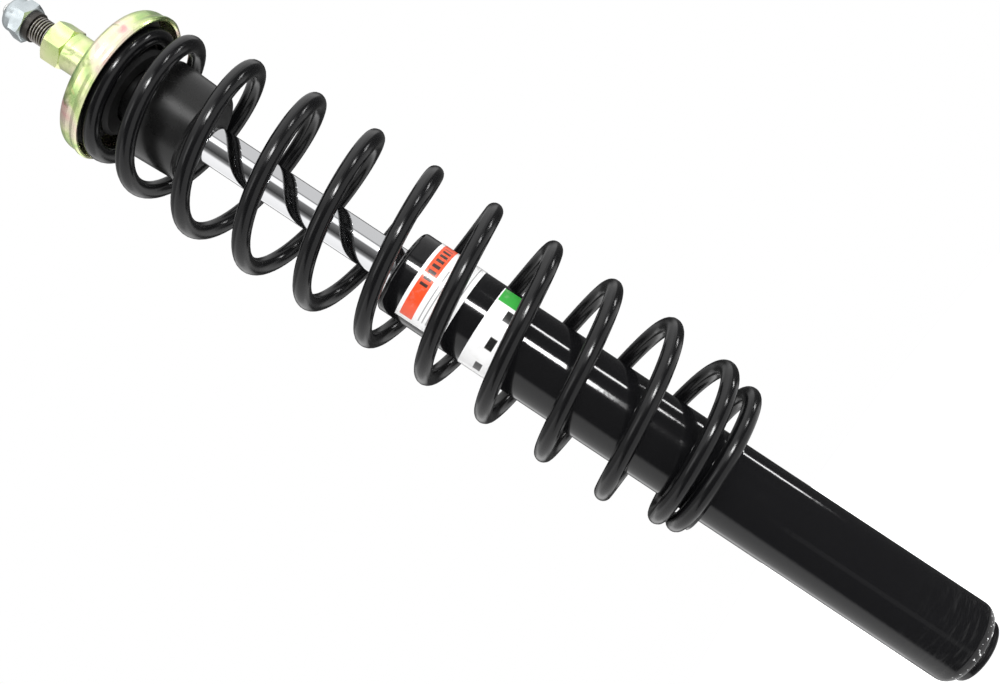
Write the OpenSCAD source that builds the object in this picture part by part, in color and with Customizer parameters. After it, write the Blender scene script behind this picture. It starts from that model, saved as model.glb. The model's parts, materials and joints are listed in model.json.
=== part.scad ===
// Coil-over strut: rod end up (+Z), origin at the middle of the clamp seat on the tube.
// Heights named *_z are measured from the end plug's outer face.

/* [Outer tube] */
// Outside diameter of the tube, the size the knuckle clamps
tube_d = 44.45; // [42:0.05:54]
// Wall thickness of the tube
tube_wall = 2.0; // [1.5:0.1:3]
// Height of the tube's closed top lip
tube_top_z = 336.5; // [280:0.5:410]
// Radius of the rolled-in lower end
roll_r = 6.2; // [5:0.1:9]
// Angle that the lower end is rolled through
roll_angle = 75; // [60:1:80]
// Radius of the rolled top corner
top_corner_r = 2.4; // [2.1:0.1:4]
// Gap between the top lip and the gland cap's neck
lip_gap = 2.2; // [0.5:0.1:2.6]
// Height of the clamped stretch's middle above the plug's face
clamp_mid_z = 40; // [30:1:60]
// Width of the staking groove under the spring seat
stake_w = 1.0; // [0.7:0.1:1.4]
// Depth of the staking groove
stake_d = 0.4; // [0.3:0.05:0.8]

/* [End plug] */
// Gap between the plug and the tube's rolled edge
plug_gap = 0.12; // [0.05:0.01:0.3]
// Corner radius of the plug
plug_corner_r = 1.0; // [0.5:0.25:3]
// Thickness of the plug's flange inside the tube
plug_flange_t = 4.0; // [3:0.25:8]

/* [Inner cylinder and base valve] */
// Bore radius of the pressure tube
bore_r = 15.0; // [12:0.1:16]
// Wall of the pressure tube
bore_wall = 1.5; // [1:0.1:2]
// Height of the base valve body
base_valve_h = 10.0; // [8:0.5:14]
// Radius of the base valve rivet
rivet_r = 3.0; // [2:0.25:4]
// Number of ports in a valve body
port_count = 6; // [4:1:8]
// Radius of a port
port_r = 1.5; // [1:0.1:2]
// Radius of the circle of ports in the base valve
base_port_circle_r = 8.5; // [7:0.1:9]
// Radius of the circle of ports in the piston
piston_port_circle_r = 10.0; // [9:0.1:11]

/* [Rod guide and seals] */
// Height of the guide's body
guide_h = 16.0; // [12:0.5:20]
// Height of the guide's spigot in the pressure tube
spigot_h = 6.0; // [4:0.5:8]
// Wall of the guide bush
bush_wall = 1.2; // [0.8:0.1:2]
// Height of the oil seal
seal_h = 6.0; // [5:0.5:8]
// Distance from the rod's face to the outside of the gland cap's neck
neck_wall = 5.0; // [4:0.1:6]
// How far the gland cap stands above the tube
neck_rise = 1.2; // [1:0.1:8]
// Section radius of the guide's O-ring
o_ring_r = 0.95; // [0.7:0.05:1.1]

/* [Piston rod] */
// Diameter of the chromed rod
rod_d = 20.0; // [16:0.5:24]
// Diameter of the threaded end
thread_d = 14.0; // [12:1:16]
// Pitch of the threaded end
thread_pitch = 1.5; // [1:0.25:2]
// Radius of the tip stub
tip_r = 3.6; // [3:0.1:5]
// How far the tip stub stands above the top nut
tip_rise = 3.0; // [0:0.5:8]
// Length of the tip stub
tip_h = 3.5; // [2:0.5:6]

/* [Piston] */
// Height of the piston's body
piston_h = 18.5; // [14:0.5:24]
// Radius of the rod's lower pin
pin_r = 6.0; // [5:0.5:7]
// Height of a shim stack
shim_h = 1.5; // [1:0.1:3]
// Wall of the piston nut at its flats
piston_nut_wall = 3.5; // [2.5:0.5:5]
// Height of the piston nut
piston_nut_h = 11.0; // [8:0.5:14]
// Height of the rebound stop ring
rebound_h = 8.5; // [6:0.5:12]
// Height of the rebound stop's clip
clip_h = 2.5; // [1.5:0.25:4]
// Gap between the rebound stop and the pressure tube
rebound_gap = 1.2; // [0.5:0.1:2]

/* [Coil spring] */
// Diameter of the spring wire
wire_d = 9.0; // [7.5:0.25:11]
// Coil radius of the middle turns, at the wire's centre
coil_r = 43.8; // [40:0.1:48]
// Gap between the top turn and the inside of the cup
coil_top_gap = 2.4; // [2:0.1:6]
// Coil radius at the lower end
coil_low_r = 36.1; // [34:0.1:40]
// Turn of the wire's upper end, counted from the side that leans out
turn_start = -0.35; // [-0.4:0.01:0]
// Turn of the wire's lower end
turn_end = 11.52; // [9:0.01:13]
// How much less than the wire an end turn rises, as it nests in the next
end_nest = 1.0; // [0:0.1:1.5]
// Gap between the lower end and the tube on the side it leans to
lean_gap = 2.475; // [2:0.005:6]
// How far the upper end sits off the axis, the other way
lean_top = 1.2; // [0:0.1:1.5]
// Height of the wire's centre at the lower end
coil_low_z = 155.2; // [130:0.1:190]

/* [Lower spring seat] */
// Thickness of the seat's lip
seat_lip_t = 1.5; // [1:0.1:4]
// Wall of the seat's lip on the side where it is narrowest
seat_lip_wall = 0.6; // [0.5:0.1:3]
// Wall of the seat's hub on the tube
seat_hub_wall = 1.0; // [0.8:0.1:3]

/* [Upper spring cup] */
// Outside radius of the cup's rim
cup_r = 41.05; // [40:0.05:46]
// Height of the cup's flat top above the tube
cup_rise = 177.0; // [150:0.5:230]
// Thickness of the cup's sheet
cup_t = 2.3; // [1.5:0.1:3]
// Depth of the cup
cup_h = 13.2; // [10:0.1:20]
// Outer corner radius of the cup
cup_corner_r = 6.5; // [4:0.5:9]
// Thickness of the rubber isolator
isolator_t = 2.1; // [1.5:0.1:4]
// Gap between the isolator's hub and the first turn
hub_gap = 1.7; // [1:0.1:4]
// Height of the isolator's hub below the flange
hub_h = 13.0; // [8:0.5:16]

/* [Bump stop] */
// Gap between the bump can's closed top and the underside of the cup
can_drop = 24.2; // [18:0.1:30]
// Height of the bump can
can_h = 31.0; // [20:0.5:50]
// Height of the washer between the can's neck and the cup
washer_h = 6.2; // [3:0.1:10]
// Radius of the can near its top
can_top_r = 26.7; // [24:0.1:28]
// Radius of the can at its lower rim
can_low_r = 25.4; // [23:0.1:27]
// Wall of the can
can_wall = 3.6; // [3.5:0.1:4.5]
// Distance from the rod's face to the outside of the can's neck
can_neck_wall = 4.0; // [3:0.1:5]
// How far the bump stop's taper stands below the can
nose_h = 5.5; // [4:0.5:20]
// Wall of the bump stop at its narrow end
nose_wall = 1.8; // [1.2:0.1:6]

/* [Top fasteners] */
// Wall of the spacer sleeve outside the thread
sleeve_wall = 3.5; // [2.5:0.1:5]
// Height of the spacer sleeve
sleeve_h = 22.3; // [15:0.1:30]
// Wall of the hex spacer nut at its flats, outside the thread
hex_wall = 3.5; // [2.5:0.25:5]
// Height of the hex spacer nut
hex_h = 11.4; // [8:0.1:16]
// Length of thread left bare for the top mount
grip_h = 10.4; // [6:0.1:16]
// Wall of the dark collar outside the thread
collar_wall = 1.05; // [0.8:0.05:2]
// Height of the dark collar
collar_h = 3.2; // [2:0.1:8]
// Wall of the top nut at its flats, outside the thread
nut_wall = 2.5; // [2.5:0.25:5]
// Height of the top nut's hex
nut_h = 6.7; // [5:0.1:12]
// Height of the top nut's domed collar
crown_h = 5.5; // [4:0.1:8]
// Wall of the domed collar
crown_wall = 1.05; // [0.8:0.05:1.2]
// Turn of the hex spacer nut about the rod
hex_turn = 18.3; // [0:0.1:60]
// Turn of the top nut about the rod
nut_turn = -14.3; // [-30:0.1:30]

/* [Labels] */
// Thickness of a label
label_t = 0.16; // [0.1:0.02:0.3]
// Distance from the tube's top to the caution label
label_drop = 10.5; // [6:0.5:30]
// Width of the caution label along the tube
label_w = 26.0; // [15:0.5:40]
// Angle that the caution label covers
label_angle = 179; // [90:1:200]
// Gap between the caution label and the side decal
decal_gap = 12.0; // [4:0.5:40]
// Width of the side decal along the tube
decal_w = 18.0; // [10:0.5:40]
// Angle that the side decal covers
decal_angle = 155; // [60:1:200]

/* [Clearances] */
// Radial clearance of a running fit
run_gap = 0.05; // [0.01:0.01:0.1]
// Radial clearance of a located fit in one body
fit_gap = 0.1; // [0.05:0.05:0.3]
// Gap between pieces that move past each other
free_gap = 0.3; // [0.3:0.05:0.6]

/* [Hidden] */
$fn = 96;
// outer tube
tube_r = tube_d / 2;
tube_in_r = tube_r - tube_wall;
roll_in_r = roll_r - tube_wall;
roll_z = 10;
roll_c = tube_r - roll_r;
rod_r = rod_d / 2;
neck_r = rod_r + neck_wall;
lip_hole_r = neck_r + lip_gap;
arc_steps = 8;
// end plug
plug_r = roll_c + roll_in_r * cos(roll_angle) - plug_gap;
plug_flange_z = roll_z + 0.4;
plug_top_z = plug_flange_z + plug_flange_t;
inner_r = tube_in_r - fit_gap;
// gland stack, from the top lip down
gland_flange_h = 5.4;
gland_flange_top_z = tube_top_z - tube_wall - fit_gap;
gland_flange_z = gland_flange_top_z - gland_flange_h;
seal_z = gland_flange_z - seal_h;
guide_z = seal_z - guide_h;
spigot_z = guide_z - spigot_h;
gland_top_z = tube_top_z + neck_rise;
groove_z = guide_z + guide_h * 0.45;
groove_d = 2.0;
groove_side = 0.3;
bush_r = rod_r + bush_wall;
// inner cylinder
pressure_top_z = guide_z - fit_gap;
valve_z = plug_top_z + fit_gap;
disc_t = 0.6;
// upper cup
cup_top_z = tube_top_z + cup_rise;
cup_under_z = cup_top_z - cup_t;
rim_flare = 0.85;
cup_side_r = cup_r - rim_flare;
cup_rim_z = cup_top_z - cup_h;
cup_corner_z = cup_top_z - cup_corner_r;
cup_corner_c = cup_side_r - cup_corner_r;
iso_top_z = cup_under_z - free_gap;
iso_low_z = iso_top_z - isolator_t;
iso_side_r = cup_side_r - cup_t - 1.6;
iso_chamfer = 1.2;
can_neck_r = rod_r + can_neck_wall;
hub_bore_r = can_neck_r + 1.5;
hub_chamfer = 2;
// bump stop
can_top_z = cup_under_z - can_drop;
can_low_z = can_top_z - can_h;
can_corner_r = 3;
nose_r = rod_r + nose_wall;
// rod
rod_shoulder_z = cup_under_z - washer_h;
thread_r = thread_d / 2;
thread_depth = 0.61 * thread_pitch;
thread_low_z = cup_top_z + sleeve_h;
taper_h = 3.0;
// rebound stack, hanging under the guide when the rod is fully out
rebound_top_z = spigot_z - free_gap;
rebound_r = bore_r - rebound_gap;
clip_z = rebound_top_z - rebound_h - clip_h;
clip_groove = 0.8;
pin_top_z = clip_z - 3.5;
pin_chamfer = 1;
piston_top_z = pin_top_z - shim_h;
piston_low_z = piston_top_z - piston_h;
piston_nut_z = piston_low_z - shim_h - piston_nut_h;
pin_low_z = piston_nut_z - 3;
ring_groove = 1.0;
ring_h = 10.0;
ring_low_z = piston_low_z + (piston_h - ring_h) / 2;
ring_in_r = bore_r - run_gap - ring_groove;
piston_r = bore_r - 0.3;
piston_nut_af = 2 * (pin_r + piston_nut_wall);
shim_r = bore_r - 2.2;
// top stack
hex_z = cup_top_z + sleeve_h;
grip_z = hex_z + hex_h;
collar_z = grip_z + grip_h;
nut_z = collar_z + collar_h;
crown_z = nut_z + nut_h;
tip_z = crown_z + crown_h + tip_rise;
stub_z = tip_z - tip_h;
bore_thread_r = thread_r + run_gap;
sleeve_r = thread_r + sleeve_wall;
hex_af = thread_d + 2 * hex_wall;
collar_r = thread_r + collar_wall;
nut_af = thread_d + 2 * nut_wall;
crown_r = nut_af / 2 - 0.4;
insert_r = crown_r - crown_wall;
insert_z = crown_z + 0.5;
insert_h = crown_h - 1.5;
// spring
wire_r = wire_d / 2;
end_pitch = wire_d - end_nest;
coil_top_r = cup_side_r - cup_t - coil_top_gap - wire_r;
lean_low = coil_low_r - wire_r - tube_r - lean_gap;
hub_r = coil_top_r - wire_r - hub_gap;
coil_top_z = iso_low_z - free_gap - wire_r;
wire_sides = 8;
rings_per_turn = 24;
turns = turn_end - turn_start;
ring_total = ceil(turns * rings_per_turn);
low_ramp_a = turn_end - 1.92;
low_ramp_b = turn_end - 0.52;
top_ramp_a = turn_start + 0.23;
top_ramp_b = turn_start + 2.03;
top_grow_a = turn_start - 0.15;
top_grow_b = turn_start + 3.15;
low_shrink_a = turn_end - 2.32;
low_shrink_b = turn_end - 0.42;
lean_power = 2.6;
ramp_span = ramp_sum(turn_end, top_ramp_a, top_ramp_b) - ramp_sum(turn_end, low_ramp_a, low_ramp_b);
pitch_gain = (coil_top_z - coil_low_z - end_pitch * turns) / ramp_span;
// lower seat
seat_tilt = atan(end_pitch / 4 / coil_low_r);
seat_rise = coil_low_r * tan(seat_tilt);
seat_low_z = coil_low_z - wire_r - fit_gap - seat_lip_t;
// the lip reaches from just outside the tube to the wire's centre on the low side
seat_wide_x = lean_low - coil_low_r;
seat_lip_r = (tube_r + seat_lip_wall - seat_wide_x) / 2;
seat_lip_x = seat_wide_x + seat_lip_r;
seat_lip_z = seat_low_z + seat_lip_t + seat_lip_r * tan(seat_tilt);
// labels
label_top_z = tube_top_z - label_drop;
label_start = -149;
decal_top_z = label_top_z - label_w - decal_gap;
decal_start = -178;

function ramp_u(t, a, b) = min(1, max(0, (t - a) / (b - a)));
function smooth(u) = u * u * (3 - 2 * u);
function ramp_sum(t, a, b) = let (u = ramp_u(t, a, b))
  (b - a) * (u * u * u - u * u * u * u / 2) + max(0, t - b);
function arc(cr, cz, r, a0, a1) =
  [for (i = [0:arc_steps]) let (a = a0 + (a1 - a0) * i / arc_steps) [cr + r * cos(a), cz + r * sin(a)]];

function coil_z(t) = coil_top_z - end_pitch * (t - turn_start)
  - pitch_gain * (ramp_sum(t, top_ramp_a, top_ramp_b) - ramp_sum(t, low_ramp_a, low_ramp_b));
function coil_radius(t) = coil_top_r
  + (coil_r - coil_top_r) * smooth(ramp_u(t, top_grow_a, top_grow_b))
  - (coil_r - coil_low_r) * smooth(ramp_u(t, low_shrink_a, low_shrink_b));
function coil_lean(z) = lean_low
  - (lean_low + lean_top) * pow(min(1, max(0, (z - coil_low_z) / (coil_top_z - coil_low_z))), lean_power);
function coil_point(t) = let (z = coil_z(t), r = coil_radius(t), a = -360 * t)
  [coil_lean(z) + r * cos(a), r * sin(a), z];
function unit(v) = v / norm(v);
function coil_ring(t) = let (
  p = coil_point(t),
  along = unit(coil_point(t + 0.002) - coil_point(t - 0.002)),
  out = unit(cross(along, cross([cos(-360 * t), sin(-360 * t), 0], along))),
  side = cross(along, out)
) [for (k = [0:wire_sides - 1]) let (a = 360 * k / wire_sides)
  p + wire_r * (cos(a) * out + sin(a) * side)];

// Drawn from the plug's face, then moved so that the clamp seat's middle is the origin.
module placed() {
  translate([0, 0, -clamp_mid_z]) children();
}

module ring(r_out, r_in, z, h) {
  translate([0, 0, z])
    difference() {
      cylinder(r = r_out, h = h);
      translate([0, 0, -1]) cylinder(r = r_in, h = h + 2);
    }
}

// Hex bar with both ends chamfered at about 30 degrees.
module hex_body(af, z, h, turn) {
  corner = af / 2 / cos(30);
  drop = (corner - af / 2 * 0.96) * 0.58;
  intersection() {
    translate([0, 0, z]) rotate([0, 0, turn]) cylinder(r = corner, h = h, $fn = 6);
    rotate_extrude()
      polygon([[0, z], [af / 2 * 0.96, z], [corner + 0.1, z + drop + 0.06],
        [corner + 0.1, z + h - drop - 0.06], [af / 2 * 0.96, z + h], [0, z + h]]);
  }
}

module tube_patch(top_z, width, start_angle, angle) {
  placed()
    rotate([0, 0, start_angle])
      rotate_extrude(angle = angle)
        translate([tube_r + 0.01, top_z - width]) square([label_t, width]);
}

module outer_tube() {
  color([0.03, 0.03, 0.035]) placed()
    rotate_extrude()
      polygon(concat(
        arc(roll_c, roll_z, roll_r, -roll_angle, 0),
        [[tube_r, seat_low_z], [tube_r - stake_d, seat_low_z + stake_w / 2],
          [tube_r, seat_low_z + stake_w]],
        arc(tube_r - top_corner_r, tube_top_z - top_corner_r, top_corner_r, 0, 90),
        [[lip_hole_r, tube_top_z], [lip_hole_r, tube_top_z - tube_wall]],
        arc(tube_r - top_corner_r, tube_top_z - top_corner_r, top_corner_r - tube_wall, 90, 0),
        arc(roll_c, roll_z, roll_in_r, 0, -roll_angle)
      ));
}

module end_plug() {
  color([0.05, 0.05, 0.05]) placed()
    rotate_extrude()
      polygon(concat(
        [[0, 0]],
        arc(plug_r - plug_corner_r, plug_corner_r, plug_corner_r, -90, 0),
        [[plug_r, plug_flange_z], [inner_r, plug_flange_z], [inner_r, plug_top_z], [0, plug_top_z]]
      ));
}

module pressure_tube() {
  color([0.6, 0.6, 0.62]) placed()
    ring(bore_r + bore_wall, bore_r, valve_z, pressure_top_z - valve_z);
}

module base_valve_body() {
  color([0.55, 0.52, 0.48]) placed()
    difference() {
      translate([0, 0, valve_z]) cylinder(r = bore_r - fit_gap, h = base_valve_h);
      translate([0, 0, valve_z - 1]) cylinder(r = bore_r - 4, h = 3);
      translate([0, 0, valve_z - 1]) cylinder(r = rivet_r + run_gap, h = base_valve_h + 2);
      for (i = [0:port_count - 1])
        rotate([0, 0, i * 360 / port_count])
          translate([base_port_circle_r, 0, valve_z - 1]) cylinder(r = port_r, h = base_valve_h + 2);
    }
}

module base_valve_disc() {
  color([0.7, 0.7, 0.72]) placed()
    ring(bore_r - 3, rivet_r + run_gap, valve_z + base_valve_h, disc_t);
}

module base_valve_rivet() {
  color([0.65, 0.65, 0.65]) placed() {
    translate([0, 0, valve_z + 0.5]) cylinder(r = rivet_r, h = base_valve_h + disc_t);
    translate([0, 0, valve_z + base_valve_h + disc_t]) cylinder(r = rivet_r + 2, h = 2);
  }
}

module rod_guide() {
  color([0.5, 0.5, 0.5]) placed()
    rotate_extrude()
      polygon([
        [bush_r, spigot_z], [bore_r - fit_gap, spigot_z], [bore_r - fit_gap, guide_z],
        [inner_r, guide_z], [inner_r, groove_z - o_ring_r - groove_side],
        [inner_r - groove_d, groove_z - o_ring_r - groove_side],
        [inner_r - groove_d, groove_z + o_ring_r + groove_side],
        [inner_r, groove_z + o_ring_r + groove_side], [inner_r, seal_z], [bush_r, seal_z]
      ]);
}

module guide_bush() {
  color([0.35, 0.3, 0.25]) placed()
    ring(bush_r, rod_r + run_gap, spigot_z + 1, guide_h + spigot_h - 2);
}

module guide_o_ring() {
  color([0.05, 0.05, 0.05]) placed()
    rotate_extrude()
      translate([inner_r - groove_d + o_ring_r + 0.05, groove_z]) circle(r = o_ring_r, $fn = 32);
}

module rod_seal() {
  color([0.06, 0.05, 0.05]) placed()
    rotate_extrude()
      polygon([
        [rod_r + run_gap, seal_z + 1], [rod_r + 1.6, seal_z], [inner_r, seal_z],
        [inner_r, gland_flange_z], [rod_r + 1.2, gland_flange_z],
        [rod_r + 1.2, seal_z + 3], [rod_r + run_gap, seal_z + 2]
      ]);
}

module gland_cap() {
  color([0.12, 0.12, 0.12]) placed()
    rotate_extrude()
      polygon([
        [rod_r + 0.6, gland_flange_z], [inner_r, gland_flange_z], [inner_r, gland_flange_top_z],
        [neck_r, gland_flange_top_z], [neck_r, gland_top_z - 1], [neck_r - 1, gland_top_z],
        [neck_r - 2, gland_top_z], [neck_r - 2, tube_top_z - 1], [rod_r + 0.6, tube_top_z - 1]
      ]);
}

module rod_wiper() {
  color([0.05, 0.05, 0.05]) placed()
    rotate_extrude()
      polygon([
        [rod_r + 1.1, tube_top_z - 0.9], [neck_r - 2.1, tube_top_z - 0.9],
        [neck_r - 2.1, gland_top_z - 0.3], [rod_r + 1, gland_top_z - 0.6],
        [rod_r + run_gap, gland_top_z - 0.2], [rod_r + run_gap, gland_top_z - 1.2],
        [rod_r + 1.1, gland_top_z - 1.8]
      ]);
}

// The lip tilts with the spring's end turn; the hub sits square on the tube.
module lower_spring_seat() {
  color([0.04, 0.04, 0.04]) placed()
    difference() {
      union() {
        translate([seat_lip_x, 0, seat_lip_z]) rotate([0, -seat_tilt, 0])
          translate([0, 0, -seat_lip_t]) cylinder(r = seat_lip_r, h = seat_lip_t);
        translate([0, 0, seat_low_z])
          cylinder(r = tube_r + seat_hub_wall, h = seat_rise + seat_lip_t);
      }
      translate([0, 0, seat_low_z - 1])
        cylinder(r = tube_r + 0.02, h = 2 * seat_rise + seat_lip_t + 3);
    }
}

module caution_label() {
  color([0.95, 0.6, 0.3]) tube_patch(label_top_z, label_w, label_start, label_angle);
}

module side_decal() {
  color([0.9, 0.92, 0.9]) tube_patch(decal_top_z, decal_w, decal_start, decal_angle);
}

module coil_spring() {
  n = wire_sides;
  points = [for (i = [0:ring_total]) each coil_ring(turn_start + turns * i / ring_total)];
  sides = [for (i = [0:ring_total - 1], k = [0:n - 1])
    [i * n + k, (i + 1) * n + k, (i + 1) * n + (k + 1) % n, i * n + (k + 1) % n]];
  first = [for (k = [0:n - 1]) k];
  last = [for (k = [n - 1:-1:0]) ring_total * n + k];
  color([0.02, 0.02, 0.02]) placed()
    polyhedron(points = points, faces = concat(sides, [first, last]));
}

module upper_isolator() {
  color([0.03, 0.03, 0.03]) placed()
    rotate_extrude()
      polygon([
        [hub_bore_r, iso_low_z - hub_h], [hub_r - hub_chamfer, iso_low_z - hub_h],
        [hub_r, iso_low_z - hub_h + hub_chamfer], [hub_r, iso_low_z],
        [iso_side_r, iso_low_z], [iso_side_r, iso_top_z - iso_chamfer],
        [cup_corner_c, iso_top_z], [hub_bore_r, iso_top_z]
      ]);
}

module piston_rod() {
  crest = [for (z = [thread_low_z:thread_pitch:stub_z - taper_h - thread_pitch])
    each [[thread_r, z + 0.1 * thread_pitch], [thread_r - thread_depth, z + 0.5 * thread_pitch],
      [thread_r, z + 0.9 * thread_pitch]]];
  color([0.8, 0.8, 0.82]) placed()
    rotate_extrude()
      polygon(concat(
        [[0, pin_low_z], [pin_r - pin_chamfer, pin_low_z], [pin_r, pin_low_z + pin_chamfer],
          [pin_r, pin_top_z], [rod_r, pin_top_z], [rod_r, clip_z],
          [rod_r - clip_groove, clip_z], [rod_r - clip_groove, clip_z + clip_h],
          [rod_r, clip_z + clip_h], [rod_r, rod_shoulder_z], [thread_r, rod_shoulder_z]],
        crest,
        [[thread_r, stub_z - taper_h], [tip_r, stub_z], [tip_r, tip_z - 0.5],
          [tip_r - 0.5, tip_z], [0, tip_z]]
      ));
}

module piston() {
  color([0.5, 0.48, 0.45]) placed()
    difference() {
      rotate_extrude()
        polygon([
          [pin_r + run_gap, piston_low_z], [piston_r, piston_low_z], [piston_r, ring_low_z],
          [ring_in_r, ring_low_z], [ring_in_r, ring_low_z + ring_h],
          [piston_r, ring_low_z + ring_h], [piston_r, piston_top_z],
          [pin_r + run_gap, piston_top_z]
        ]);
      for (i = [0:port_count - 1])
        rotate([0, 0, i * 360 / port_count])
          translate([piston_port_circle_r, 0, piston_low_z - 1]) cylinder(r = port_r, h = piston_h + 2);
    }
}

module piston_ring() {
  color([0.25, 0.22, 0.2]) placed()
    ring(bore_r - run_gap, ring_in_r, ring_low_z, ring_h);
}

module rebound_shims() {
  color([0.7, 0.7, 0.72]) placed()
    ring(shim_r, pin_r + run_gap, piston_top_z, shim_h);
}

module compression_shims() {
  color([0.7, 0.7, 0.72]) placed()
    ring(shim_r, pin_r + run_gap, piston_low_z - shim_h, shim_h);
}

module piston_nut() {
  color([0.6, 0.6, 0.6]) placed()
    difference() {
      hex_body(piston_nut_af, piston_nut_z, piston_nut_h, 0);
      translate([0, 0, piston_nut_z - 1]) cylinder(r = pin_r + run_gap, h = piston_nut_h + 2);
    }
}

module rebound_stop() {
  color([0.08, 0.08, 0.08]) placed()
    ring(rebound_r, rod_r + 0.02, clip_z + clip_h, rebound_h);
}

module rebound_clip() {
  color([0.5, 0.5, 0.5]) placed()
    ring(rod_r + 2.5, rod_r - clip_groove + 0.02, clip_z, clip_h);
}

module cup_washer() {
  color([0.6, 0.6, 0.6]) placed()
    ring(can_neck_r, bore_thread_r, rod_shoulder_z, cup_under_z - rod_shoulder_z);
}

module bump_can() {
  lid_z = can_top_z - can_wall;
  color([0.03, 0.03, 0.03]) placed()
    rotate_extrude()
      polygon(concat(
        [[can_low_r - can_wall, can_low_z], [can_low_r - 0.8, can_low_z], [can_low_r, can_low_z + 0.8]],
        arc(can_top_r - can_corner_r, can_top_z - can_corner_r, can_corner_r, 0, 90),
        [[can_neck_r, can_top_z], [can_neck_r, rod_shoulder_z - fit_gap],
          [rod_r + fit_gap, rod_shoulder_z - fit_gap], [rod_r + fit_gap, lid_z],
          [can_low_r - can_wall, lid_z]]
      ));
}

module bump_stop() {
  body_r = can_low_r - can_wall - fit_gap;
  color([0.05, 0.05, 0.05]) placed()
    rotate_extrude()
      polygon([
        [rod_r + fit_gap, can_low_z - nose_h], [nose_r, can_low_z - nose_h],
        [body_r - 1, can_low_z - 1.5], [body_r, can_low_z],
        [body_r, can_top_z - can_wall - fit_gap], [rod_r + fit_gap, can_top_z - can_wall - fit_gap]
      ]);
}

module upper_spring_cup() {
  color([0.8, 0.75, 0.4]) placed()
    rotate_extrude()
      polygon(concat(
        [[bore_thread_r, cup_under_z]],
        arc(cup_corner_c, cup_corner_z, cup_corner_r - cup_t, 90, 0),
        [[cup_side_r - cup_t, cup_rim_z + 4], [cup_r - cup_t, cup_rim_z + 0.9],
          [cup_r - cup_t + 0.7, cup_rim_z], [cup_r - 0.7, cup_rim_z], [cup_r, cup_rim_z + 0.9],
          [cup_r, cup_rim_z + 2.2], [cup_side_r, cup_rim_z + 4.4]],
        arc(cup_corner_c, cup_corner_z, cup_corner_r, 0, 90),
        [[bore_thread_r, cup_top_z]]
      ));
}

module spacer_sleeve() {
  color([0.8, 0.77, 0.45]) placed()
    ring(sleeve_r, bore_thread_r, cup_top_z, sleeve_h);
}

module hex_spacer_nut() {
  color([0.8, 0.77, 0.4]) placed()
    difference() {
      hex_body(hex_af, hex_z, hex_h, hex_turn);
      translate([0, 0, hex_z - 1]) cylinder(r = bore_thread_r, h = hex_h + 2);
    }
}

module lock_collar() {
  color([0.2, 0.18, 0.18]) placed()
    ring(collar_r, bore_thread_r, collar_z, collar_h);
}

module top_lock_nut() {
  color([0.75, 0.77, 0.8]) placed()
    difference() {
      union() {
        hex_body(nut_af, nut_z, nut_h, nut_turn);
        rotate_extrude()
          polygon(concat(
            [[0, crown_z - 1], [crown_r, crown_z - 1]],
            arc(crown_r - 3, crown_z + crown_h - 3, 3, 0, 90),
            [[0, crown_z + crown_h]]
          ));
      }
      translate([0, 0, nut_z - 1]) cylinder(r = bore_thread_r, h = nut_h + 2);
      translate([0, 0, insert_z]) cylinder(r = insert_r, h = insert_h);
      translate([0, 0, crown_z - 1]) cylinder(r = bore_thread_r - 0.6, h = crown_h + 2);
    }
}

module nylon_insert() {
  color([0.85, 0.85, 0.8]) placed()
    ring(insert_r - 0.02, bore_thread_r, insert_z, insert_h);
}

outer_tube();
end_plug();
pressure_tube();
base_valve_body();
base_valve_disc();
base_valve_rivet();
rod_guide();
guide_bush();
guide_o_ring();
rod_seal();
gland_cap();
rod_wiper();
lower_spring_seat();
caution_label();
side_decal();
coil_spring();
upper_isolator();
piston_rod();
piston();
piston_ring();
rebound_shims();
compression_shims();
piston_nut();
rebound_stop();
rebound_clip();
cup_washer();
bump_can();
bump_stop();
upper_spring_cup();
spacer_sleeve();
hex_spacer_nut();
lock_collar();
top_lock_nut();
nylon_insert();
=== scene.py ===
# %% [markdown]
# # A suspension strut, dressed for its picture
# The strut is a damper tube with a chromed rod, a coil spring round both, and a plated cup and nuts
# on top. Its solids come from the CAD model, already in place and in metres, with +Z along the rod.
# This lesson leaves their shapes alone, winds a round-wire spring in place of the faceted one, and
# then spends its time on what the eye reads first: gloss paint, chrome, zinc plate and rubber.

# %% Load the strut
import json
import math
import bpy
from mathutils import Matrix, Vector


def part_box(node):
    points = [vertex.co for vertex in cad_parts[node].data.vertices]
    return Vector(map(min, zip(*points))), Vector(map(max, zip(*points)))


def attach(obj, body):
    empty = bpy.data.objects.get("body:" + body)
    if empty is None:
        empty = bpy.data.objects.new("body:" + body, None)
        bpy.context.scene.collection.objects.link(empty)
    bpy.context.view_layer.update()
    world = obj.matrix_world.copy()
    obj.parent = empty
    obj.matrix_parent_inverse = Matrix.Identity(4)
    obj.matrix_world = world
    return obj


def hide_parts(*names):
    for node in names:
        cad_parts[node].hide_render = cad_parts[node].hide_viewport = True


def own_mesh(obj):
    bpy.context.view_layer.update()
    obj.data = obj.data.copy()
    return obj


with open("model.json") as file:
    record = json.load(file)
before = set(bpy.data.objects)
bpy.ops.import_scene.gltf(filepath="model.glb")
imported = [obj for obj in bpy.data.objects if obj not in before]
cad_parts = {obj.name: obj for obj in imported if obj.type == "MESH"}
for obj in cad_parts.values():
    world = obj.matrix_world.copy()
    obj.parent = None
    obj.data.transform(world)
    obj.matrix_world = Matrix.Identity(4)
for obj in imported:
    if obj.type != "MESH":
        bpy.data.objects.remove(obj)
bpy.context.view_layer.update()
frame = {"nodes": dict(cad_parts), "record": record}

# %% [markdown]
# ## Where things are
# The finishes change with height on a few pieces: the rod is chromed below the cup and phosphated
# where it is threaded. Those heights could be typed in, but then a longer tube would leave them
# behind. Asking the frame for each piece's box keeps every finish where its piece is.

# %% Read the heights that the finishes need
def low(node):
    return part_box(node)[0]


def high(node):
    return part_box(node)[1]


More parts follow.
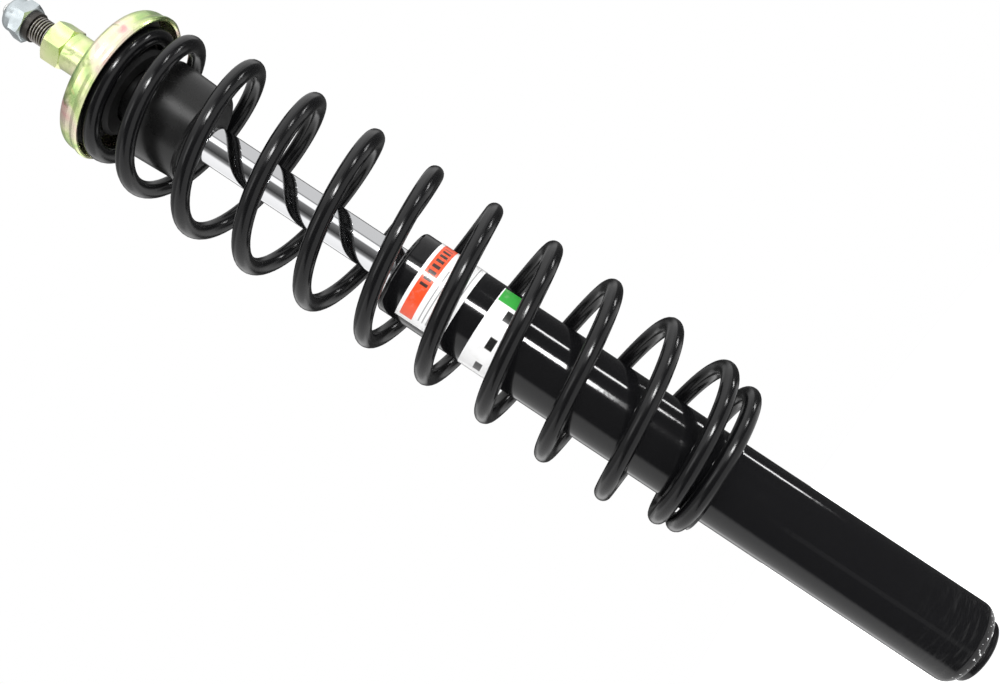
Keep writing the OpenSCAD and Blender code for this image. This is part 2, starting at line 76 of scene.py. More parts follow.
TUBE_TOP = high("outer_tube").z
TUBE_END = low("end_plug").z
CUP_TOP = high("upper_spring_cup").z
STUD_TIP = high("piston_rod").z
print("tube from", round(TUBE_END, 4), "to", round(TUBE_TOP, 4), "cup top", round(CUP_TOP, 4))

# %% [markdown]
# ## A short way to write node trees
# Every finish below is a small tree of shader nodes, and the spring is a tree of geometry nodes.
# Clicking them together by hand is how most people learn, but a script can't click. This helper
# adds a node, sets its properties and feeds its inputs in one call, so a tree reads from the top
# down like a recipe.

# %% Helpers for node trees
class Tree:
    def __init__(self, tree):
        self.tree = tree

    def add(self, kind, inputs=None, **settings):
        node = self.tree.nodes.new(kind)
        for name, value in settings.items():
            setattr(node, name, value)
        for key, value in (inputs or {}).items():
            if isinstance(value, bpy.types.NodeSocket):
                self.tree.links.new(value, node.inputs[key])
            else:
                node.inputs[key].default_value = value
        return node

    def math(self, operation, a, b=0.0, c=0.0, clamp=False):
        inputs = {0: a, 1: b, 2: c}
        return self.add("ShaderNodeMath", inputs, operation=operation, use_clamp=clamp).outputs[0]

    def span(self, value, start, end, to_start=0.0, to_end=1.0, smooth=False):
        kind = "SMOOTHSTEP" if smooth else "LINEAR"
        inputs = {"Value": value, "From Min": start, "From Max": end,
                  "To Min": to_start, "To Max": to_end}
        return self.add("ShaderNodeMapRange", inputs, interpolation_type=kind).outputs[0]

    def noise(self, where, scale, detail=3.0, roughness=0.5, distortion=0.0):
        inputs = {"Vector": where, "Scale": scale, "Detail": detail, "Roughness": roughness,
                  "Distortion": distortion}
        return self.add("ShaderNodeTexNoise", inputs).outputs["Fac"]

    def stretch(self, where, scale):
        return self.add("ShaderNodeMapping", {"Vector": where, "Scale": scale}).outputs[0]

    def mix(self, share, a, b):
        factor, first, second, result = 0, 6, 7, 2    # where a colour mix keeps its sockets
        inputs = {factor: share, first: a, second: b}
        return self.add("ShaderNodeMix", inputs, data_type="RGBA").outputs[result]

    def ramp(self, value, stops):
        node = self.add("ShaderNodeValToRGB", {"Fac": value})
        bar = node.color_ramp
        bar.elements[0].position, bar.elements[0].color = stops[0]
        bar.elements[1].position, bar.elements[1].color = stops[-1]
        for place, colour in stops[1:-1]:
            bar.elements.new(place).color = colour
        return node.outputs["Color"]

    def bump(self, height, strength, distance):
        inputs = {"Height": height, "Strength": strength, "Distance": distance}
        return self.add("ShaderNodeBump", inputs).outputs[0]


def grey(value):
    return (value, value, value, 1.0)


def new_finish(name, **plain):
    """A material with one Principled shader; the plain values go straight on its sockets."""
    finish = bpy.data.materials.new(name)
    finish.use_nodes = True
    finish.node_tree.nodes.clear()
    tree = Tree(finish.node_tree)
    shader = tree.add("ShaderNodeBsdfPrincipled", plain)
    tree.add("ShaderNodeOutputMaterial", {"Surface": shader.outputs[0]})
    where = tree.add("ShaderNodeTexCoord").outputs["Object"]
    return finish, tree, shader, where


def between(tree, value, start, end, soft):
    """1 from start to end, 0 outside, with edges soft to either side."""
    rise = tree.span(value, start - soft, start + soft)
    fall = tree.span(value, end - soft, end + soft)
    return tree.math("SUBTRACT", rise, fall, clamp=True)


def feed(tree, shader, **sockets):
    """Link outputs to the shader's sockets; an underscore stands for a space in a name."""
    for name, value in sockets.items():
        tree.tree.links.new(value, shader.inputs[name.replace("_", " ")])


# %% [markdown]
# ## Gloss black enamel on the tube
# The tube is dipped and baked, so its black is deep and wet-looking, with a faint orange peel that
# makes long reflections waver a little. The end that goes into the clamp is handled most: it has
# dull rub marks and a few chips down to pale primer. A noise for the peel, a stretched noise for
# the rubs and a thresholded one for the chips give those three scales; a painted image would give
# them too, but it would have to be unwrapped and it would blur in close views.

# %% Tube enamel
RUBS_STOP, RUBS_FULL = TUBE_END + 0.052, TUBE_END + 0.012
CHIPS_FROM, CHIPS_TO, CHIPS_SOFT = TUBE_END + 0.0042, TUBE_END + 0.0085, 0.0006
ENAMEL_BLACK, RUBBED_GREY, PRIMER = (0.0045, 0.0045, 0.005, 1), grey(0.035), grey(0.62)


def enamel():
    finish, tree, shader, where = new_finish("tube_enamel", **{"Specular IOR Level": 0.5})
    height = tree.add("ShaderNodeSeparateXYZ", {"Vector": where}).outputs["Z"]
    clamp_end = tree.span(height, RUBS_STOP, RUBS_FULL)
    lip = between(tree, height, CHIPS_FROM, CHIPS_TO, CHIPS_SOFT)
    chips = tree.span(tree.noise(where, 620.0, 3.0), 0.61, 0.65)
    chips = tree.math("MULTIPLY", chips, lip)
    rubs = tree.noise(tree.stretch(where, (90.0, 90.0, 700.0)), 1.0, 4.0, 0.6)
    rubs = tree.math("MULTIPLY", tree.span(rubs, 0.50, 0.72), clamp_end)
    dust = tree.noise(where, 38.0, 5.0, 0.6)
    colour = tree.mix(tree.math("MULTIPLY", rubs, 0.25), ENAMEL_BLACK, RUBBED_GREY)
    colour = tree.mix(chips, colour, PRIMER)
    rough = tree.math("ADD", tree.span(dust, 0.3, 0.75, 0.07, 0.13),
                      tree.math("MULTIPLY", rubs, 0.25))
    rough = tree.math("MAXIMUM", rough, tree.math("MULTIPLY", chips, 0.6))
    peel = tree.noise(where, 330.0, 1.0)
    feed(tree, shader, Base_Color=colour, Roughness=rough,
         Normal=tree.bump(peel, 0.035, 0.0006))
    return finish


# %% [markdown]
# ## Powder coat on the spring
# Spring wire is powder coated after it is wound. The coat is as black as the tube's enamel but a
# touch softer and hazier, with a coarser peel, and it is rubbed through to grey where its two seats
# touch it. The rub is kept to the two ends of the spring by height.

# %% Spring powder coat
WEAR_STOPS, WEAR_FULL = 0.0016, 0.0004    # distances from the spring's own ends
COAT_BLACK, WORN_GREY = (0.0032, 0.0032, 0.0036, 1), grey(0.16)


def powder_coat(spring_low, spring_high):
    finish, tree, shader, where = new_finish("spring_powder_coat", **{"Specular IOR Level": 0.36})
    height = tree.add("ShaderNodeSeparateXYZ", {"Vector": where}).outputs["Z"]
    seat_end = tree.span(height, spring_low + WEAR_STOPS, spring_low + WEAR_FULL)
    cup_end = tree.span(height, spring_high - WEAR_STOPS, spring_high - WEAR_FULL)
    worn = tree.math("MULTIPLY", tree.math("ADD", seat_end, cup_end),
                     tree.span(tree.noise(where, 500.0, 3.0), 0.42, 0.62))
    colour = tree.mix(worn, COAT_BLACK, WORN_GREY)
    haze = tree.noise(where, 55.0, 4.0, 0.6)
    rough = tree.math("ADD", tree.span(haze, 0.3, 0.7, 0.15, 0.22),
                      tree.math("MULTIPLY", worn, 0.3))
    peel = tree.noise(where, 520.0, 2.0)
    feed(tree, shader, Base_Color=colour, Roughness=rough,
         Normal=tree.bump(peel, 0.05, 0.0005))
    return finish


# %% [markdown]
# ## Chromed rod with a phosphated stud
# Hard chrome is ground round and round, so its scratches are rings too fine to see one by one; they
# only smear highlights a little along the rod. Noise stretched flat, far finer along Z than around,
# gives those rings. Above the cup the same bar is threaded and phosphated: brown-black in the roots
# and rubbed bright on the crests, which the distance from the axis picks out. Its tip is bare
# metal.

# %% Rod chrome
THREAD_ROOT, THREAD_CREST = 0.00655, 0.00698
TIP_STARTS, TIP_BARE = STUD_TIP - 0.0045, STUD_TIP - 0.0035


def rod_finish():
    finish, tree, shader, where = new_finish("rod_chrome_and_phosphate")
    parts = tree.add("ShaderNodeSeparateXYZ", {"Vector": where}).outputs
    radius = tree.math("SQRT", tree.math("ADD", tree.math("MULTIPLY", parts["X"], parts["X"]),
                                         tree.math("MULTIPLY", parts["Y"], parts["Y"])))
    stud = tree.span(parts["Z"], CUP_TOP - 0.001, CUP_TOP)
    tip = tree.span(parts["Z"], TIP_STARTS, TIP_BARE)
    crest = tree.span(radius, THREAD_ROOT, THREAD_CREST)
    rings = tree.noise(tree.stretch(where, (14.0, 14.0, 5200.0)), 1.0, 2.0)
    film = tree.noise(where, 26.0, 4.0, 0.55)
    chrome = tree.mix(film, (0.80, 0.80, 0.81, 1), (0.72, 0.73, 0.75, 1))
    rust = tree.noise(where, 900.0, 3.0)
    phosphate = tree.mix(rust, (0.055, 0.045, 0.038, 1), (0.13, 0.11, 0.10, 1))
    phosphate = tree.mix(crest, phosphate, (0.42, 0.40, 0.38, 1))
    colour = tree.mix(stud, chrome, phosphate)
    colour = tree.mix(tip, colour, (0.70, 0.71, 0.70, 1))
    rough = tree.span(rings, 0.35, 0.7, 0.035, 0.075)
    rough = tree.math("ADD", rough, tree.math("MULTIPLY", stud, 0.26))
    shader.inputs["Metallic"].default_value = 1.0
    feed(tree, shader, Base_Color=colour, Roughness=rough,
         Normal=tree.bump(rings, 0.02, 0.00005))
    return finish


# %% [markdown]
# ## Yellow chromate on the cup, sleeve and hex
# Zinc passivated in yellow chromate is a metal under a very thin film, and the film's thickness
# shows as colour: straw where it is thin, pink and green where it drained and pooled. A soft,
# slightly twisted noise stands for the thickness, and a colour ramp turns it into those tints. A
# second noise puts green stains where liquid dried, and both keep one size on every plated piece.

# %% Yellow zinc
def yellow_zinc():
    finish, tree, shader, where = new_finish("yellow_chromate_zinc")
    film = tree.noise(where, 38.0, 2.5, 0.5, 1.0)
    tint = tree.ramp(film, [
        (0.30, (0.90, 0.52, 0.50, 1)), (0.39, (0.95, 0.84, 0.66, 1)),
        (0.47, (0.95, 0.95, 0.60, 1)), (0.55, (0.76, 0.88, 0.40, 1)),
        (0.63, (0.52, 0.76, 0.30, 1)), (0.73, (0.95, 0.74, 0.34, 1))])
    stain = tree.span(tree.noise(where, 70.0, 4.0, 0.6, 0.8), 0.57, 0.68)
    colour = tree.mix(tree.math("MULTIPLY", stain, 0.75), tint, (0.12, 0.22, 0.03, 1))
    grain = tree.noise(where, 1500.0, 3.0)
    rough = tree.span(tree.noise(where, 160.0, 3.0), 0.3, 0.7, 0.20, 0.34)
    shader.inputs["Metallic"].default_value = 1.0
    feed(tree, shader, Base_Color=colour, Roughness=rough,
         Normal=tree.bump(grain, 0.10, 0.00008))
    return finish


# %% [markdown]
# ## Plain metals
# The other metals differ only in tint, sheen and how coarse their grain is, so one recipe makes
# them all: a large soft noise for handling marks, a fine one for the grain, and circular tool marks
# where a piece is turned on a lathe. Writing it once keeps them one family.

# %% Plain metals
def plain_metal(name, bright, dull, rough_low, rough_high, grain=0.08, turned=False):
    finish, tree, shader, where = new_finish(name)
    marks = tree.noise(where, 120.0, 4.0, 0.6)
    colour = tree.mix(tree.span(marks, 0.3, 0.7), bright, dull)
    rough = tree.span(tree.noise(where, 260.0, 3.0), 0.3, 0.7, rough_low, rough_high)
    if turned:
        bumps = tree.noise(tree.stretch(where, (60.0, 60.0, 4200.0)), 1.0, 2.0)
    else:
        bumps = tree.noise(where, 1700.0, 2.0)
    shader.inputs["Metallic"].default_value = 1.0
    feed(tree, shader, Base_Color=colour, Roughness=rough,
         Normal=tree.bump(bumps, grain, 0.00006))
    return finish


# %% [markdown]
# ## Rubber, foam and moulded plastic
# None of these shines like paint. Rubber is dull with a dusty bloom, the bump stop's foam has a
# skin of tiny cells, and the moulded can is smoother, with a soft sheen. Again one recipe serves,
# with the cell size and the sheen as its settings.

# %% Rubber and plastic
def moulded(name, dark, pale, rough_low, rough_high, cell, depth):
    finish, tree, shader, where = new_finish(name, **{"Specular IOR Level": 0.5})
    bloom = tree.noise(where, 70.0, 5.0, 0.62)
    colour = tree.mix(tree.span(bloom, 0.42, 0.75), dark, pale)
    rough = tree.span(bloom, 0.3, 0.7, rough_low, rough_high)
    cells = tree.noise(where, cell, 3.0, 0.6)
    feed(tree, shader, Base_Color=colour, Roughness=rough, Normal=tree.bump(cells, depth, 0.0002))
    return finish


# %% [markdown]
# ## Printed films
# Two stickers wrap the tube. Each is a white vinyl film with plain printed blocks, which mean
# nothing: an orange band with dark blocks and grey bars under it on one, and a green patch over a
# row of black slots on the other. The print follows the tube, so each block is set by its height,
# in metres from the film's top or base, and by its angle round the axis, worked out from X and Y
# with an arctangent. That needs no unwrapping and stays sharp at any distance.

# %% Printing tools
PRINT_EDGE = 0.00012    # a printed edge fades this far to either side, in metres
VINYL_GRIME = (0.52, 0.50, 0.46, 1)


def arc(tree, angle, start, end, soft):
    """1 between two angles in degrees; soft is in radians, as the angle itself is."""
    return between(tree, angle, math.radians(start), math.radians(end), soft)


def film_base(name):
    finish, tree, shader, where = new_finish(
        name, **{"Specular IOR Level": 0.5, "Coat Weight": 0.8, "Coat Roughness": 0.07})
    parts = tree.add("ShaderNodeSeparateXYZ", {"Vector": where}).outputs
    angle = tree.math("ARCTAN2", parts["Y"], parts["X"])
    return finish, tree, shader, where, parts["Z"], angle


def film_finish(tree, shader, where, colour):
    grime = tree.span(tree.noise(where, 240.0, 5.0, 0.65), 0.55, 0.85, 0.0, 0.35)
    colour = tree.mix(grime, colour, VINYL_GRIME)
    rough = tree.span(tree.noise(where, 90.0, 3.0), 0.3, 0.7, 0.24, 0.40)
    wrinkle = tree.noise(where, 150.0, 2.0)
    feed(tree, shader, Base_Color=colour, Roughness=rough,
         Normal=tree.bump(wrinkle, 0.08, 0.0003))


# %% Caution label
BAND_ORANGE, BAND_BLACK = (0.78, 0.062, 0.003, 1), (0.03, 0.012, 0.008, 1)
BAND_BLOCKS_A_RADIAN = 6.0
BAR_PITCH = 0.0021


def caution_film():
    finish, tree, shader, where, height, angle = film_base("printed_caution_film")
    top, base = high("caution_label").z, low("caution_label").z
    colour = grey(0.83)
    block = between(tree, height, top - 0.0090, top - 0.0020, PRINT_EDGE)
    sides = arc(tree, angle, -142, 22, 0.006)
    colour = tree.mix(tree.math("MULTIPLY", block, sides), colour, BAND_ORANGE)
    beat = tree.math("FRACT", tree.math("MULTIPLY", angle, BAND_BLOCKS_A_RADIAN))
    beat = tree.math("MULTIPLY", between(tree, beat, 0.25, 0.80, 0.03),
                     arc(tree, angle, -92, -24, 0.004))
    marks = between(tree, height, top - 0.0076, top - 0.0034, PRINT_EDGE)
    colour = tree.mix(tree.math("MULTIPLY", beat, marks), colour, BAND_BLACK)
    rule = between(tree, height, base + 0.0024, base + 0.0029, PRINT_EDGE)
    colour = tree.mix(rule, colour, grey(0.30))
    bar = tree.math("MULTIPLY", height, 1 / BAR_PITCH)
    bar_number, across_bar = tree.math("FLOOR", bar), tree.math("FRACT", bar)
    ragged = tree.add("ShaderNodeTexWhiteNoise", {"W": bar_number},
                      noise_dimensions="1D").outputs[0]
    thick = between(tree, across_bar, 0.30, 0.62, 0.05)
    rows = between(tree, height, base + 0.0042, top - 0.0115, PRINT_EDGE)
    bar_end = tree.span(ragged, 0.0, 1.0, math.radians(-70), math.radians(-20))
    width = tree.math("MULTIPLY", tree.span(angle, math.radians(-137), math.radians(-135)),
                      tree.math("LESS_THAN", angle, bar_end))
    bars = tree.math("MULTIPLY", tree.math("MULTIPLY", thick, rows), width)
    colour = tree.mix(tree.math("MULTIPLY", bars, 0.75), colour, grey(0.16))
    film_finish(tree, shader, where, colour)
    return finish


# %% Side decal
LEAF_GREEN, SLOT_BLACK = (0.02, 0.30, 0.03, 1), grey(0.006)
SLOTS_A_RADIAN = 1.4


def decal_film():
    finish, tree, shader, where, height, angle = film_base("printed_side_decal")
    top, base = high("side_decal").z, low("side_decal").z
    colour = grey(0.80)
    wedge = arc(tree, angle, -52, -20, 0.01)
    leaf = between(tree, height, base + 0.0030, top - 0.0006, PRINT_EDGE)
    colour = tree.mix(tree.math("MULTIPLY", wedge, leaf), colour, LEAF_GREEN)
    beat = tree.math("FRACT", tree.math("MULTIPLY", angle, SLOTS_A_RADIAN))
    beat = tree.math("MULTIPLY", between(tree, beat, 0.20, 0.62, 0.02),
                     arc(tree, angle, -178, -58, 0.004))
    slots = between(tree, height, base + 0.0060, base + 0.0100, PRINT_EDGE)
    colour = tree.mix(tree.math("MULTIPLY", beat, slots), colour, SLOT_BLACK)
    film_finish(tree, shader, where, colour)
    return finish


# %% [markdown]
# ## Every finish to its pieces
# The CAD record names a material slot for each node. Collecting the finishes under those names and
# handing them out in a loop means that no piece is forgotten, and a piece added later in the CAD
# gets its finish without a new line here.

# %% Make the finishes and hand them out
spring_low, spring_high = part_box("coil_spring")
finishes = {
    "tube_paint": enamel(),
    "spring_coat": powder_coat(spring_low.z, spring_high.z),
    "rod_chrome": rod_finish(),
    "yellow_zinc": yellow_zinc(),
    "silver_zinc": plain_metal("clear_zinc", (0.58, 0.63, 0.65, 1), (0.46, 0.51, 0.53, 1),
                               0.22, 0.36),
    "dark_steel": plain_metal("dark_phosphate", (0.10, 0.095, 0.09, 1), (0.05, 0.045, 0.04, 1),
                              0.35, 0.50, 0.15),
    "bare_steel": plain_metal("oiled_steel", (0.62, 0.61, 0.60, 1), (0.46, 0.45, 0.44, 1),
                              0.22, 0.38, 0.06, True),
    "gland_metal": plain_metal("satin_gland", (0.16, 0.16, 0.165, 1), (0.09, 0.09, 0.095, 1),
                               0.30, 0.42, 0.06, True),
    "sintered_iron": plain_metal("sintered_iron", (0.34, 0.33, 0.31, 1), (0.22, 0.21, 0.20, 1),
                                 0.45, 0.60, 0.35),
    "black_rubber": moulded("seal_rubber", grey(0.004), grey(0.009), 0.50, 0.68, 900.0, 0.12),
    "bump_urethane": moulded("foam_skin", grey(0.014), grey(0.028), 0.38, 0.55, 1300.0, 0.25),
    "can_plastic": moulded("moulded_can", grey(0.004), grey(0.007), 0.24, 0.32, 700.0, 0.05),
    "bush_lining": moulded("bush_lining", (0.16, 0.13, 0.10, 1), (0.24, 0.20, 0.16, 1),
                           0.35, 0.5, 1500.0, 0.2),
    "nylon": moulded("natural_nylon", (0.70, 0.70, 0.62, 1), (0.78, 0.78, 0.72, 1),
                     0.30, 0.45, 800.0, 0.08),
    "label_film": caution_film(),
    "decal_film": decal_film(),
}
slot_of = {part["node"]: part["material_slot"] for part in frame["record"]["subparts"]}
for node, piece in frame["nodes"].items():
    for place in piece.material_slots:
        place.material = finishes[slot_of[node]]
print("finishes:", len(finishes), "on", len(slot_of), "nodes")

# %% [markdown]
# ## Winding the spring with Geometry Nodes
# A coil spring is a rule, not a sculpture: an angle, a radius and a height that all change with the
# turn. The wire starts small under the cup, opens to full size within about three turns, keeps an
# even pitch, and closes up again on the lower seat. Its axis also leans: the lower end sits off to
# one side of the rod. A screw modifier can't vary all of these, so the tree takes a straight line
# of points, works out where each belongs with a few math nodes, and sweeps a circle along them.
# Each size is a named input, so another spring needs only other numbers.

# %% The spring's rule as a node tree
SPRING_SIZES = {
    "Wire radius": 0.0045, "Middle radius": 0.04344, "Top radius": 0.0310, "Low radius": 0.0361,
    "First turn": -0.35, "Last turn": 11.52, "End rise": 0.0080,
    "Lean at low end": 0.0069, "Lean at top": 0.0012, "Lean power": 2.6,
}
# In turns, counted from the first turn at the top and from the last one at the low end.
TOP_RAMP, LOW_RAMP = (0.23, 2.03), (-1.92, -0.52)
TOP_GROWTH, LOW_SHRINK = (-0.15, 3.15), (-2.32, -0.42)
RINGS_A_TURN, WIRE_SIDES = 60, 24


def ramp_sum(tree, turn, start, end):
    """How far a pitch that eases in from start to end has risen at this turn."""
    u = tree.math("DIVIDE", tree.math("SUBTRACT", turn, start), tree.math("SUBTRACT", end, start),
                  clamp=True)
    cube = tree.math("POWER", u, 3.0)
    eased = tree.math("SUBTRACT", cube, tree.math("MULTIPLY", tree.math("POWER", u, 4.0), 0.5))
    past = tree.math("MAXIMUM", tree.math("SUBTRACT", turn, end), 0.0)
    return tree.math("ADD", tree.math("MULTIPLY", eased, tree.math("SUBTRACT", end, start)), past)


def spring_tree():
    group = bpy.data.node_groups.new("leaning_coil_spring", "GeometryNodeTree")
    group.interface.new_socket("Geometry", in_out="INPUT", socket_type="NodeSocketGeometry")
    group.interface.new_socket("Geometry", in_out="OUTPUT", socket_type="NodeSocketGeometry")
    for name in [*SPRING_SIZES, "Top height", "Low height"]:
        group.interface.new_socket(name, in_out="INPUT", socket_type="NodeSocketFloat")
    group.interface.new_socket("Rings", in_out="INPUT", socket_type="NodeSocketInt")
    group.interface.new_socket("Finish", in_out="INPUT", socket_type="NodeSocketMaterial")
    tree = Tree(group)
    size = tree.add("NodeGroupInput").outputs

    last_ring = tree.math("SUBTRACT", size["Rings"], 1.0)
    share = tree.math("DIVIDE", tree.add("GeometryNodeInputIndex").outputs[0], last_ring)
    turns = tree.math("SUBTRACT", size["Last turn"], size["First turn"])
    turn = tree.math("MULTIPLY_ADD", share, turns, size["First turn"])

    def from_top(offset):
        return tree.math("ADD", size["First turn"], offset)

    def from_low(offset):
        return tree.math("ADD", size["Last turn"], offset)

    def pitch_sum(at):
        opened = ramp_sum(tree, at, *[from_top(x) for x in TOP_RAMP])
        closed = ramp_sum(tree, at, *[from_low(x) for x in LOW_RAMP])
        return tree.math("SUBTRACT", opened, closed)

    drop = tree.math("SUBTRACT", size["Top height"], size["Low height"])
    spare = tree.math("SUBTRACT", drop, tree.math("MULTIPLY", size["End rise"], turns))
    gain = tree.math("DIVIDE", spare, pitch_sum(size["Last turn"]))
    fallen = tree.math("MULTIPLY", tree.math("SUBTRACT", turn, size["First turn"]),
                       size["End rise"])
    fallen = tree.math("MULTIPLY_ADD", pitch_sum(turn), gain, fallen)
    height = tree.math("SUBTRACT", size["Top height"], fallen)

    grown = tree.span(turn, *[from_top(x) for x in TOP_GROWTH], smooth=True)
    shrunk = tree.span(turn, *[from_low(x) for x in LOW_SHRINK], smooth=True)
    radius = tree.math("MULTIPLY_ADD", grown,
                       tree.math("SUBTRACT", size["Middle radius"], size["Top radius"]),
                       size["Top radius"])
    radius = tree.math("SUBTRACT", radius, tree.math(
        "MULTIPLY", shrunk, tree.math("SUBTRACT", size["Middle radius"], size["Low radius"])))

    rise = tree.math("DIVIDE", tree.math("SUBTRACT", height, size["Low height"]), drop, clamp=True)
    lean = tree.math("POWER", rise, size["Lean power"])
    lean = tree.math("SUBTRACT", size["Lean at low end"], tree.math(
        "MULTIPLY", lean, tree.math("ADD", size["Lean at low end"], size["Lean at top"])))

    angle = tree.math("MULTIPLY", turn, -2 * math.pi)
    across = tree.math("MULTIPLY_ADD", tree.math("COSINE", angle), radius, lean)
    away = tree.math("MULTIPLY", tree.math("SINE", angle), radius)
    place = tree.add("ShaderNodeCombineXYZ", {"X": across, "Y": away, "Z": height}).outputs[0]

    line = tree.add("GeometryNodeMeshLine", {"Count": size["Rings"]}, mode="OFFSET")
    wire = tree.add("GeometryNodeMeshToCurve", {0: line.outputs[0]}).outputs[0]
    wire = tree.add("GeometryNodeSetPosition", {"Geometry": wire, "Position": place}).outputs[0]
    ring = tree.add("GeometryNodeCurvePrimitiveCircle",
                    {"Resolution": WIRE_SIDES, "Radius": size["Wire radius"]}).outputs[0]
    swept = tree.add("GeometryNodeCurveToMesh",
                     {"Curve": wire, "Profile Curve": ring, "Fill Caps": True}).outputs[0]
    swept = tree.add("GeometryNodeRealizeInstances", {0: swept}).outputs[0]
    swept = tree.add("GeometryNodeSetMaterial",
                     {"Geometry": swept, "Material": size["Finish"]}).outputs[0]
    tree.add("NodeGroupOutput", {"Geometry": swept})
    return group


# %% [markdown]
# ## From the tree to a plain mesh
# A modifier's inputs are set by each socket's identifier. The evaluated object is then copied into
# an ordinary mesh, because the finished strut has to move, and only a plain mesh can be flattened
# along the rod as the spring is pressed. The spring's heights come from the CAD spring's own box.

# %% Wind the spring and seat it
def wind_spring():
    group = spring_tree()
    maker = bpy.data.objects.new("spring_maker", bpy.data.meshes.new("spring_maker"))
    bpy.context.scene.collection.objects.link(maker)
    modifier = maker.modifiers.new("wind", "NODES")
    modifier.node_group = group
    wire_r = SPRING_SIZES["Wire radius"]
    turns = SPRING_SIZES["Last turn"] - SPRING_SIZES["First turn"]
    values = dict(SPRING_SIZES)
    values["Top height"] = spring_high.z - wire_r
    values["Low height"] = spring_low.z + wire_r
    values["Rings"] = math.ceil(turns * RINGS_A_TURN) + 1
    values["Finish"] = finishes["spring_coat"]
    for item in group.interface.items_tree:
        if item.in_out == "INPUT" and item.name in values:
            modifier[item.identifier] = values[item.name]
    ready = maker.evaluated_get(bpy.context.evaluated_depsgraph_get())
    mesh = bpy.data.meshes.new_from_object(ready)
    bpy.data.objects.remove(maker)
    spring = bpy.data.objects.new("wound_spring", mesh)
    bpy.context.scene.collection.objects.link(spring)
    smooth = [len(face.vertices) == 4 for face in mesh.polygons]
    mesh.polygons.foreach_set("use_smooth", smooth)
    return spring


spring = wind_spring()
corners = [Vector(corner) for corner in spring.bound_box]
print("spring:", len(spring.data.polygons), "faces, from",
      [round(min(c[i] for c in corners), 4) for i in range(3)], "to",
      [round(max(c[i] for c in corners), 4) for i in range(3)])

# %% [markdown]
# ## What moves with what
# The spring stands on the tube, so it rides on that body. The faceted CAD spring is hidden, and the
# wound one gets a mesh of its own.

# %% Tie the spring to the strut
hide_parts("coil_spring")
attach(spring, "tube")
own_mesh(spring)

# %% [markdown]
# ## Floor
# The strut would stand on its plug, so a pale floor lies just under it. It is a small round board,
# glowing faintly like a light table so that its edge melts into the white round it, and hidden from
# reflections, which would otherwise turn the black tube grey.

# %% A pale floor
FLOOR_RADIUS, FLOOR_GAP = 0.45, 0.001
bpy.ops.mesh.primitive_circle_add(vertices=128, radius=FLOOR_RADIUS, fill_type="NGON",
                                  location=(0, 0, TUBE_END - FLOOR_GAP))
floor = bpy.context.object
floor.name = "pale_floor"
paper, tree, shader, where = new_finish("floor_paper", **{
    "Roughness": 0.9, "Emission Color": grey(1.0), "Emission Strength": 0.8})
feed(tree, shader, Base_Color=tree.mix(tree.noise(where, 3.0, 4.0), grey(0.90), grey(0.94)))
floor.data.materials.append(paper)
floor.visible_glossy = False

# %% [markdown]
# ## Studio surroundings
# Gloss black shows nothing but what it reflects, so the surroundings are part of the picture. The
# camera and the matt pieces see plain white. Reflections see a studio instead: tall screens round
# the strut, bright at some angles and dark at others, with a pale ceiling over them, and a dim
# lower half that holds a white table on one side and a bright floor far down. The table draws the
# grey band along the shaded side of the tube and the wire, the screens draw stripes on the chrome,
# and the far floor shows only on edges that face down.

# %% World
world = bpy.data.worlds.new("studio")
bpy.context.scene.world = world
world.use_nodes = True
world.node_tree.nodes.clear()
tree = Tree(world.node_tree)
way = tree.add("ShaderNodeTexCoord").outputs["Generated"]
paths = tree.add("ShaderNodeLightPath").outputs


def facing(direction, start, end):
    """1 where the way looks towards the direction, 0 away from it, with a soft edge."""
    dot = tree.add("ShaderNodeVectorMath", {0: way, 1: Vector(direction).normalized()},
                   operation="DOT_PRODUCT").outputs["Value"]
    return tree.span(dot, start, end, smooth=True)


def all_round(stops):
    """Glow that changes with the angle in degrees from -Y towards +X."""
    return tree.ramp(round_about, [(angle / 360 + 0.5, grey(glow)) for angle, glow in stops])


table = tree.math("MULTIPLY", facing((-0.5, 0.866, 0.72), -0.10, 0.09),
                  facing((-0.906, -0.423, 0.0), -0.10, 0.10))
parts = tree.add("ShaderNodeSeparateXYZ", {"Vector": way}).outputs
turned = tree.math("ARCTAN2", parts["X"], tree.math("MULTIPLY", parts["Y"], -1.0))
round_about = tree.span(turned, -math.pi, math.pi)
screens = all_round([
    (-179, 0.03), (-152, 0.10), (-140, 1.05), (-64, 1.20), (-52, 0.30), (-34, 0.05), (-14, 0.14),
    (8, 0.26), (13, 1.30), (38, 1.30), (43, 0.18), (50, 0.75), (140, 0.75), (158, 0.03)])
ceiling = all_round([
    (-150, 0.35), (-60, 0.55), (-25, 0.70), (10, 1.25), (90, 1.35), (150, 0.50)])
screens_start = tree.span(parts["Z"], 0.06, 0.16, smooth=True)
ceiling_start = tree.span(parts["Z"], 0.34, 0.44, smooth=True)
below = tree.span(parts["Z"], -0.2, 0.1, 0.06, 0.12)
far_floor = tree.span(parts["Z"], -0.42, -0.54, 0.0, 0.85, smooth=True)
lower_half = tree.math("MAXIMUM", tree.math("MULTIPLY", table, 0.95),
                       tree.math("MAXIMUM", below, far_floor))
reflected = tree.mix(screens_start, lower_half, screens)
reflected = tree.mix(ceiling_start, reflected, ceiling)
seen = tree.mix(paths["Is Glossy Ray"], grey(1.2), reflected)
seen = tree.mix(paths["Is Camera Ray"], seen, grey(1.0))
shade = tree.add("ShaderNodeBackground", {"Color": seen, "Strength": 1.0}).outputs[0]
tree.add("ShaderNodeOutputWorld", {"Surface": shade})

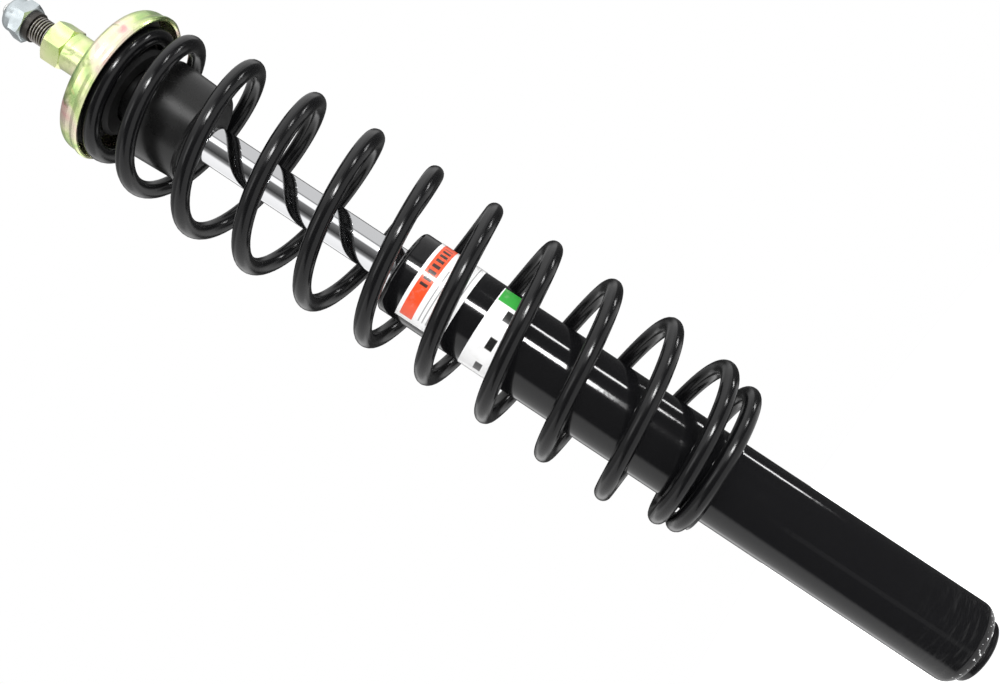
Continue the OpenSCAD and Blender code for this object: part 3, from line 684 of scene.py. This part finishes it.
# %% [markdown]
# ## Lights
# Narrow softboxes stand in front of the strut and beside it. Each gives the paint one clean streak,
# at an angle that its place round the strut decides: a light turned by an angle from the camera
# shows on the tube half that angle round. Each is short as well, so that its streak fades out
# partway along. A wide one high up lights the cup, and a very faint one low down in front takes the
# flatness off the tube's end. Behind the strut there is only a broad faint one: a strong light
# there would draw a white outline round everything, because all surfaces shine at a glancing angle.

# %% Softboxes
STAND_OFF = 1.5    # metres from the rod


def softbox(name, angle, base, top, width, glow):
    """A light turned by angle from -Y towards +X, facing the rod; glow is its brightness."""
    data = bpy.data.lights.new(name, "AREA")
    data.shape, data.size, data.size_y = "RECTANGLE", width, top - base
    data.energy = glow * math.pi * width * (top - base)
    light = bpy.data.objects.new(name, data)
    turn = math.radians(angle)
    light.location = (STAND_OFF * math.sin(turn), -STAND_OFF * math.cos(turn), (base + top) / 2)
    light.rotation_euler = (math.pi / 2, 0.0, turn)
    light.visible_camera = False
    bpy.context.scene.collection.objects.link(light)


softbox("near_streak", angle=25, base=0.10, top=0.58, width=0.24, glow=42.0)
softbox("can_streak", angle=20, base=0.90, top=1.20, width=0.16, glow=5.0)
softbox("side_streak", angle=69, base=-0.03, top=0.29, width=0.13, glow=24.0)
softbox("rim_streak", angle=103, base=-0.30, top=0.03, width=0.12, glow=16.0)
softbox("soft_fill", angle=-11, base=-0.70, top=-0.30, width=0.30, glow=0.15)
softbox("cup_glow", angle=-28, base=1.05, top=1.75, width=0.90, glow=1.4)
softbox("back_fill", angle=212, base=-0.60, top=0.90, width=0.60, glow=0.4)

# %% [markdown]
# ## Camera
# The camera stands a little over half a metre from the rod, level with the upper part of the tube,
# and is rolled over so that the strut lies across the picture with its stud at the upper left.

# %% Camera
view = bpy.data.cameras.new("camera")
view.lens, view.sensor_width = 42.39, 36.0
camera = bpy.data.objects.new("camera", view)
camera.location = (0.0, -0.5817, 0.21342)
camera.rotation_euler = tuple(math.radians(x) for x in (93.991, 56.389, 3.602))
bpy.context.scene.collection.objects.link(camera)
bpy.context.scene.camera = camera
bpy.context.scene.view_settings.view_transform = "Standard"
